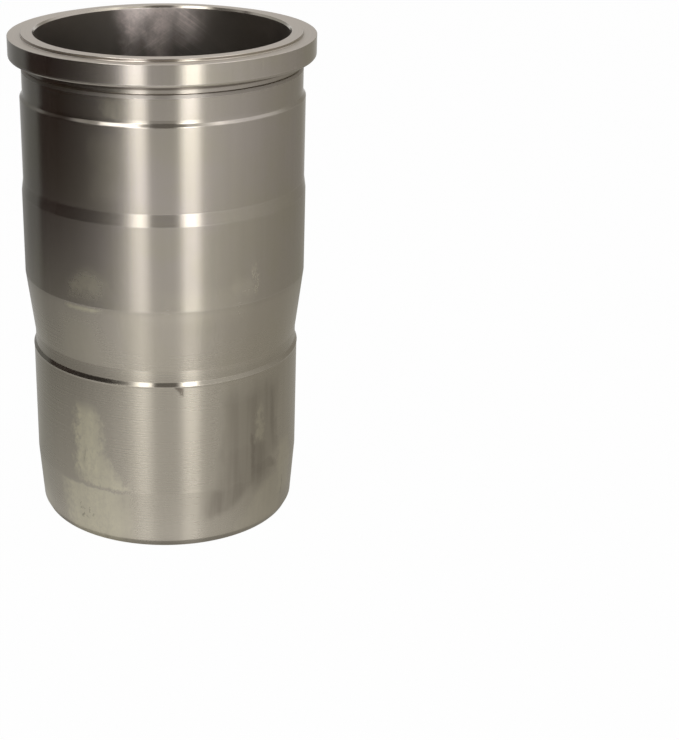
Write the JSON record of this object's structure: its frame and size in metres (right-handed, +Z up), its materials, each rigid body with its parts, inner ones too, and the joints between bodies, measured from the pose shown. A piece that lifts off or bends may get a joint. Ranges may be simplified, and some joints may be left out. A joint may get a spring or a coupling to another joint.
{
  "type": "cylinder liner",
  "caption": "Flanged wet cylinder liner: a turned iron sleeve with a honed piston bore, a hanging flange, stepped guide and seal lands and a tapered lower end.",
  "frame": {"origin": "centre of the lower end, on the bore axis", "axes": "+Z up along the bore axis, from the lower end to the flange"},
  "size_m": [0.158, 0.158, 0.2615],
  "materials": {
    "turned_iron": "fine turned and ground grey iron, honed bore"
  },
  "bodies": {
    "root": {"cylinder_liner": "turned_iron"}
  },
  "joints": []
}
